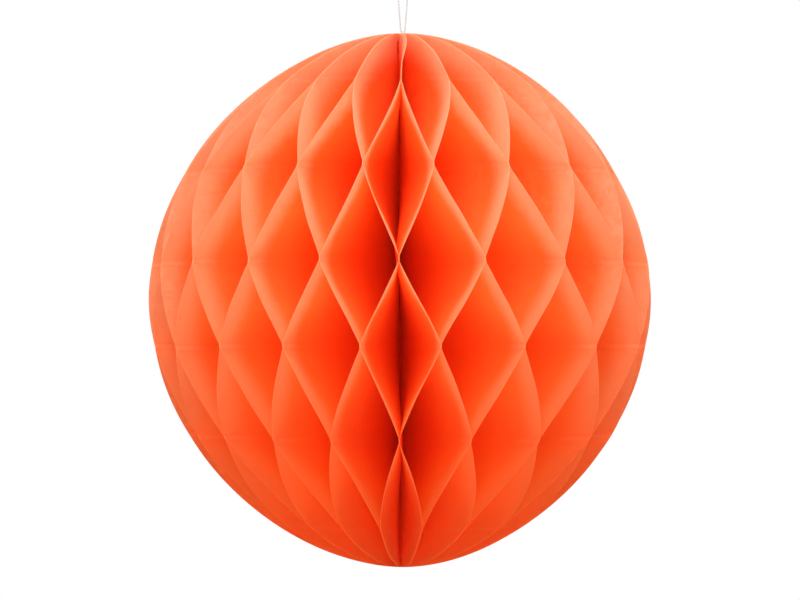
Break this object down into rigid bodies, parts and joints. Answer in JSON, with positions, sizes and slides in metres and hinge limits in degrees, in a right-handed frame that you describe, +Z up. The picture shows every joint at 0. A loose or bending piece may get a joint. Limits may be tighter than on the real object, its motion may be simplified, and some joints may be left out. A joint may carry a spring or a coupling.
{
  "type": "paper honeycomb ball",
  "caption": "Hanging honeycomb ball of fanned tissue leaves that folds flat between two card covers, on a thread loop.",
  "frame": {"origin": "the point inside the top of the thread loop that rests on a hook", "axes": "+Z up along the ball's spine and the loop, +Y towards the seam where the two covers meet, +X to the right as seen from the side opposite the seam"},
  "size_m": [0.1877, 0.1874, 0.2706],
  "materials": {
    "orange_tissue": "matte",
    "cover_card": "matte",
    "hanging_thread": "matte",
    "spine_glue": "satin",
    "seam_tape": "satin"
  },
  "bodies": {
    "hanger": {"hanging_loop": "hanging_thread"},
    "knot": {"loop_knot": "hanging_thread"},
    "core": {"spine_binding": "spine_glue", "spine_cord": "hanging_thread", "bottom_knot": "hanging_thread", "left_cover": "cover_card", "seam_tape_top": "seam_tape", "seam_tape_middle": "seam_tape", "seam_tape_bottom": "seam_tape"},
    "folding_cover": {"right_cover": "cover_card"},
    "leaf_01": {"leaf_01": "orange_tissue"},
    "leaf_02": {"leaf_02": "orange_tissue"},
    "leaf_03": {"leaf_03": "orange_tissue"},
    "leaf_04": {"leaf_04": "orange_tissue"},
    "leaf_05": {"leaf_05": "orange_tissue"},
    "leaf_06": {"leaf_06": "orange_tissue"},
    "leaf_07": {"leaf_07": "orange_tissue"},
    "leaf_08": {"leaf_08": "orange_tissue"},
    "leaf_09": {"leaf_09": "orange_tissue"},
    "leaf_10": {"leaf_10": "orange_tissue"},
    "leaf_11": {"leaf_11": "orange_tissue"},
    "leaf_12": {"leaf_12": "orange_tissue"},
    "leaf_13": {"leaf_13": "orange_tissue"},
    "leaf_14": {"leaf_14": "orange_tissue"},
    "leaf_15": {"leaf_15": "orange_tissue"},
    "leaf_16": {"leaf_16": "orange_tissue"},
    "leaf_17": {"leaf_17": "orange_tissue"},
    "leaf_18": {"leaf_18": "orange_tissue"},
    "leaf_19": {"leaf_19": "orange_tissue"},
    "leaf_20": {"leaf_20": "orange_tissue"},
    "leaf_21": {"leaf_21": "orange_tissue"},
    "leaf_22": {"leaf_22": "orange_tissue"},
    "leaf_23": {"leaf_23": "orange_tissue"},
    "leaf_24": {"leaf_24": "orange_tissue"},
    "leaf_25": {"leaf_25": "orange_tissue"},
    "leaf_26": {"leaf_26": "orange_tissue"},
    "leaf_27": {"leaf_27": "orange_tissue"},
    "leaf_28": {"leaf_28": "orange_tissue"},
    "leaf_29": {"leaf_29": "orange_tissue"},
    "leaf_30": {"leaf_30": "orange_tissue"},
    "leaf_31": {"leaf_31": "orange_tissue"},
    "leaf_32": {"leaf_32": "orange_tissue"},
    "leaf_33": {"leaf_33": "orange_tissue"},
    "leaf_34": {"leaf_34": "orange_tissue"},
    "leaf_35": {"leaf_35": "orange_tissue"},
    "leaf_36": {"leaf_36": "orange_tissue"},
    "leaf_37": {"leaf_37": "orange_tissue"},
    "leaf_38": {"leaf_38": "orange_tissue"},
    "leaf_39": {"leaf_39": "orange_tissue"},
    "leaf_40": {"leaf_40": "orange_tissue"}
  },
  "joints": [
    {"name": "ball_swing", "type": "hinge", "parent": "hanger", "child": "knot", "pos_m": [0, 0, -0.0688], "axis": [1, 0, 0], "range_deg": [-75, 75]},
    {"name": "ball_turn", "type": "hinge", "parent": "knot", "child": "core", "pos_m": [0, 0, -0.0688], "axis": [0, 0, 1], "continuous": true},
    {"name": "fold", "type": "hinge", "parent": "core", "child": "folding_cover", "pos_m": [0, 0, -0.17], "axis": [0, 0, -1], "range_deg": [0, 352]},
    {"name": "leaf_01_fan", "type": "hinge", "parent": "core", "child": "leaf_01", "pos_m": [0, 0, -0.17], "axis": [0, 0, -1], "range_deg": [0, 4.44], "deforming": ["leaf_01"]},
    {"name": "leaf_02_fan", "type": "hinge", "parent": "core", "child": "leaf_02", "pos_m": [0, 0, -0.17], "axis": [0, 0, -1], "range_deg": [0, 13.49], "deforming": ["leaf_02"]},
    {"name": "leaf_03_fan", "type": "hinge", "parent": "core", "child": "leaf_03", "pos_m": [0, 0, -0.17], "axis": [0, 0, -1], "range_deg": [0, 22.69], "deforming": ["leaf_03"]},
    {"name": "leaf_04_fan", "type": "hinge", "parent": "core", "child": "leaf_04", "pos_m": [0, 0, -0.17], "axis": [0, 0, -1], "range_deg": [0, 31.9], "deforming": ["leaf_04"]},
    {"name": "leaf_05_fan", "type": "hinge", "parent": "core", "child": "leaf_05", "pos_m": [0, 0, -0.17], "axis": [0, 0, -1], "range_deg": [0, 41.05], "deforming": ["leaf_05"]},
    {"name": "leaf_06_fan", "type": "hinge", "parent": "core", "child": "leaf_06", "pos_m": [0, 0, -0.17], "axis": [0, 0, -1], "range_deg": [0, 50.09], "deforming": ["leaf_06"]},
    {"name": "leaf_07_fan", "type": "hinge", "parent": "core", "child": "leaf_07", "pos_m": [0, 0, -0.17], "axis": [0, 0, -1], "range_deg": [0, 59.01], "deforming": ["leaf_07"]},
    {"name": "leaf_08_fan", "type": "hinge", "parent": "core", "child": "leaf_08", "pos_m": [0, 0, -0.17], "axis": [0, 0, -1], "range_deg": [0, 67.84], "deforming": ["leaf_08"]},
    {"name": "leaf_09_fan", "type": "hinge", "parent": "core", "child": "leaf_09", "pos_m": [0, 0, -0.17], "axis": [0, 0, -1], "range_deg": [0, 76.62], "deforming": ["leaf_09"]},
    {"name": "leaf_10_fan", "type": "hinge", "parent": "core", "child": "leaf_10", "pos_m": [0, 0, -0.17], "axis": [0, 0, -1], "range_deg": [0, 85.4], "deforming": ["leaf_10"]},
    {"name": "leaf_11_fan", "type": "hinge", "parent": "core", "child": "leaf_11", "pos_m": [0, 0, -0.17], "axis": [0, 0, -1], "range_deg": [0, 94.2], "deforming": ["leaf_11"]},
    {"name": "leaf_12_fan", "type": "hinge", "parent": "core", "child": "leaf_12", "pos_m": [0, 0, -0.17], "axis": [0, 0, -1], "range_deg": [0, 103.02], "deforming": ["leaf_12"]},
    {"name": "leaf_13_fan", "type": "hinge", "parent": "core", "child": "leaf_13", "pos_m": [0, 0, -0.17], "axis": [0, 0, -1], "range_deg": [0, 111.84], "deforming": ["leaf_13"]},
    {"name": "leaf_14_fan", "type": "hinge", "parent": "core", "child": "leaf_14", "pos_m": [0, 0, -0.17], "axis": [0, 0, -1], "range_deg": [0, 120.61], "deforming": ["leaf_14"]},
    {"name": "leaf_15_fan", "type": "hinge", "parent": "core", "child": "leaf_15", "pos_m": [0, 0, -0.17], "axis": [0, 0, -1], "range_deg": [0, 129.29], "deforming": ["leaf_15"]},
    {"name": "leaf_16_fan", "type": "hinge", "parent": "core", "child": "leaf_16", "pos_m": [0, 0, -0.17], "axis": [0, 0, -1], "range_deg": [0, 137.85], "deforming": ["leaf_16"]},
    {"name": "leaf_17_fan", "type": "hinge", "parent": "core", "child": "leaf_17", "pos_m": [0, 0, -0.17], "axis": [0, 0, -1], "range_deg": [0, 146.3], "deforming": ["leaf_17"]},
    {"name": "leaf_18_fan", "type": "hinge", "parent": "core", "child": "leaf_18", "pos_m": [0, 0, -0.17], "axis": [0, 0, -1], "range_deg": [0, 154.69], "deforming": ["leaf_18"]},
    {"name": "leaf_19_fan", "type": "hinge", "parent": "core", "child": "leaf_19", "pos_m": [0, 0, -0.17], "axis": [0, 0, -1], "range_deg": [0, 163.09], "deforming": ["leaf_19"]},
    {"name": "leaf_20_fan", "type": "hinge", "parent": "core", "child": "leaf_20", "pos_m": [0, 0, -0.17], "axis": [0, 0, -1], "range_deg": [0, 171.64], "deforming": ["leaf_20"]},
    {"name": "leaf_21_fan", "type": "hinge", "parent": "core", "child": "leaf_21", "pos_m": [0, 0, -0.17], "axis": [0, 0, -1], "range_deg": [0, 180.44], "deforming": ["leaf_21"]},
    {"name": "leaf_22_fan", "type": "hinge", "parent": "core", "child": "leaf_22", "pos_m": [0, 0, -0.17], "axis": [0, 0, -1], "range_deg": [0, 189.61], "deforming": ["leaf_22"]},
    {"name": "leaf_23_fan", "type": "hinge", "parent": "core", "child": "leaf_23", "pos_m": [0, 0, -0.17], "axis": [0, 0, -1], "range_deg": [0, 199.22], "deforming": ["leaf_23"]},
    {"name": "leaf_24_fan", "type": "hinge", "parent": "core", "child": "leaf_24", "pos_m": [0, 0, -0.17], "axis": [0, 0, -1], "range_deg": [0, 209.24], "deforming": ["leaf_24"]},
    {"name": "leaf_25_fan", "type": "hinge", "parent": "core", "child": "leaf_25", "pos_m": [0, 0, -0.17], "axis": [0, 0, -1], "range_deg": [0, 219.63], "deforming": ["leaf_25"]},
    {"name": "leaf_26_fan", "type": "hinge", "parent": "core", "child": "leaf_26", "pos_m": [0, 0, -0.17], "axis": [0, 0, -1], "range_deg": [0, 230.22], "deforming": ["leaf_26"]},
    {"name": "leaf_27_fan", "type": "hinge", "parent": "core", "child": "leaf_27", "pos_m": [0, 0, -0.17], "axis": [0, 0, -1], "range_deg": [0, 240.84], "deforming": ["leaf_27"]},
    {"name": "leaf_28_fan", "type": "hinge", "parent": "core", "child": "leaf_28", "pos_m": [0, 0, -0.17], "axis": [0, 0, -1], "range_deg": [0, 251.25], "deforming": ["leaf_28"]},
    {"name": "leaf_29_fan", "type": "hinge", "parent": "core", "child": "leaf_29", "pos_m": [0, 0, -0.17], "axis": [0, 0, -1], "range_deg": [0, 261.27], "deforming": ["leaf_29"]},
    {"name": "leaf_30_fan", "type": "hinge", "parent": "core", "child": "leaf_30", "pos_m": [0, 0, -0.17], "axis": [0, 0, -1], "range_deg": [0, 270.72], "deforming": ["leaf_30"]},
    {"name": "leaf_31_fan", "type": "hinge", "parent": "core", "child": "leaf_31", "pos_m": [0, 0, -0.17], "axis": [0, 0, -1], "range_deg": [0, 279.52], "deforming": ["leaf_31"]},
    {"name": "leaf_32_fan", "type": "hinge", "parent": "core", "child": "leaf_32", "pos_m": [0, 0, -0.17], "axis": [0, 0, -1], "range_deg": [0, 287.67], "deforming": ["leaf_32"]},
    {"name": "leaf_33_fan", "type": "hinge", "parent": "core", "child": "leaf_33", "pos_m": [0, 0, -0.17], "axis": [0, 0, -1], "range_deg": [0, 295.25], "deforming": ["leaf_33"]},
    {"name": "leaf_34_fan", "type": "hinge", "parent": "core", "child": "leaf_34", "pos_m": [0, 0, -0.17], "axis": [0, 0, -1], "range_deg": [0, 302.44], "deforming": ["leaf_34"]},
    {"name": "leaf_35_fan", "type": "hinge", "parent": "core", "child": "leaf_35", "pos_m": [0, 0, -0.17], "axis": [0, 0, -1], "range_deg": [0, 309.42], "deforming": ["leaf_35"]},
    {"name": "leaf_36_fan", "type": "hinge", "parent": "core", "child": "leaf_36", "pos_m": [0, 0, -0.17], "axis": [0, 0, -1], "range_deg": [0, 316.43], "deforming": ["leaf_36"]},
    {"name": "leaf_37_fan", "type": "hinge", "parent": "core", "child": "leaf_37", "pos_m": [0, 0, -0.17], "axis": [0, 0, -1], "range_deg": [0, 323.64], "deforming": ["leaf_37"]},
    {"name": "leaf_38_fan", "type": "hinge", "parent": "core", "child": "leaf_38", "pos_m": [0, 0, -0.17], "axis": [0, 0, -1], "range_deg": [0, 331.22], "deforming": ["leaf_38"]},
    {"name": "leaf_39_fan", "type": "hinge", "parent": "core", "child": "leaf_39", "pos_m": [0, 0, -0.17], "axis": [0, 0, -1], "range_deg": [0, 339.21], "deforming": ["leaf_39"]},
    {"name": "leaf_40_fan", "type": "hinge", "parent": "core", "child": "leaf_40", "pos_m": [0, 0, -0.17], "axis": [0, 0, -1], "range_deg": [0, 347.64], "deforming": ["leaf_40"]}
  ],
  "couplings": [
    {"joint": "leaf_01_fan", "follows": "fold", "ratio": 0.012607},
    {"joint": "leaf_02_fan", "follows": "fold", "ratio": 0.038336},
    {"joint": "leaf_03_fan", "follows": "fold", "ratio": 0.064456},
    {"joint": "leaf_04_fan", "follows": "fold", "ratio": 0.090637},
    {"joint": "leaf_05_fan", "follows": "fold", "ratio": 0.11663},
    {"joint": "leaf_06_fan", "follows": "fold", "ratio": 0.14231},
    {"joint": "leaf_07_fan", "follows": "fold", "ratio": 0.16765},
    {"joint": "leaf_08_fan", "follows": "fold", "ratio": 0.19273},
    {"joint": "leaf_09_fan", "follows": "fold", "ratio": 0.21768},
    {"joint": "leaf_10_fan", "follows": "fold", "ratio": 0.24262},
    {"joint": "leaf_11_fan", "follows": "fold", "ratio": 0.26762},
    {"joint": "leaf_12_fan", "follows": "fold", "ratio": 0.29268},
    {"joint": "leaf_13_fan", "follows": "fold", "ratio": 0.31773},
    {"joint": "leaf_14_fan", "follows": "fold", "ratio": 0.34265},
    {"joint": "leaf_15_fan", "follows": "fold", "ratio": 0.36731},
    {"joint": "leaf_16_fan", "follows": "fold", "ratio": 0.39163},
    {"joint": "leaf_17_fan", "follows": "fold", "ratio": 0.41564},
    {"joint": "leaf_18_fan", "follows": "fold", "ratio": 0.43946},
    {"joint": "leaf_19_fan", "follows": "fold", "ratio": 0.46334},
    {"joint": "leaf_20_fan", "follows": "fold", "ratio": 0.48761},
    {"joint": "leaf_21_fan", "follows": "fold", "ratio": 0.51262},
    {"joint": "leaf_22_fan", "follows": "fold", "ratio": 0.53868},
    {"joint": "leaf_23_fan", "follows": "fold", "ratio": 0.56595},
    {"joint": "leaf_24_fan", "follows": "fold", "ratio": 0.59445},
    {"joint": "leaf_25_fan", "follows": "fold", "ratio": 0.62395},
    {"joint": "leaf_26_fan", "follows": "fold", "ratio": 0.65405},
    {"joint": "leaf_27_fan", "follows": "fold", "ratio": 0.6842},
    {"joint": "leaf_28_fan", "follows": "fold", "ratio": 0.71379},
    {"joint": "leaf_29_fan", "follows": "fold", "ratio": 0.74223},
    {"joint": "leaf_30_fan", "follows": "fold", "ratio": 0.76908},
    {"joint": "leaf_31_fan", "follows": "fold", "ratio": 0.79408},
    {"joint": "leaf_32_fan", "follows": "fold", "ratio": 0.81724},
    {"joint": "leaf_33_fan", "follows": "fold", "ratio": 0.83879},
    {"joint": "leaf_34_fan", "follows": "fold", "ratio": 0.8592},
    {"joint": "leaf_35_fan", "follows": "fold", "ratio": 0.87905},
    {"joint": "leaf_36_fan", "follows": "fold", "ratio": 0.89895},
    {"joint": "leaf_37_fan", "follows": "fold", "ratio": 0.91945},
    {"joint": "leaf_38_fan", "follows": "fold", "ratio": 0.94095},
    {"joint": "leaf_39_fan", "follows": "fold", "ratio": 0.96368},
    {"joint": "leaf_40_fan", "follows": "fold", "ratio": 0.98762}
  ]
}
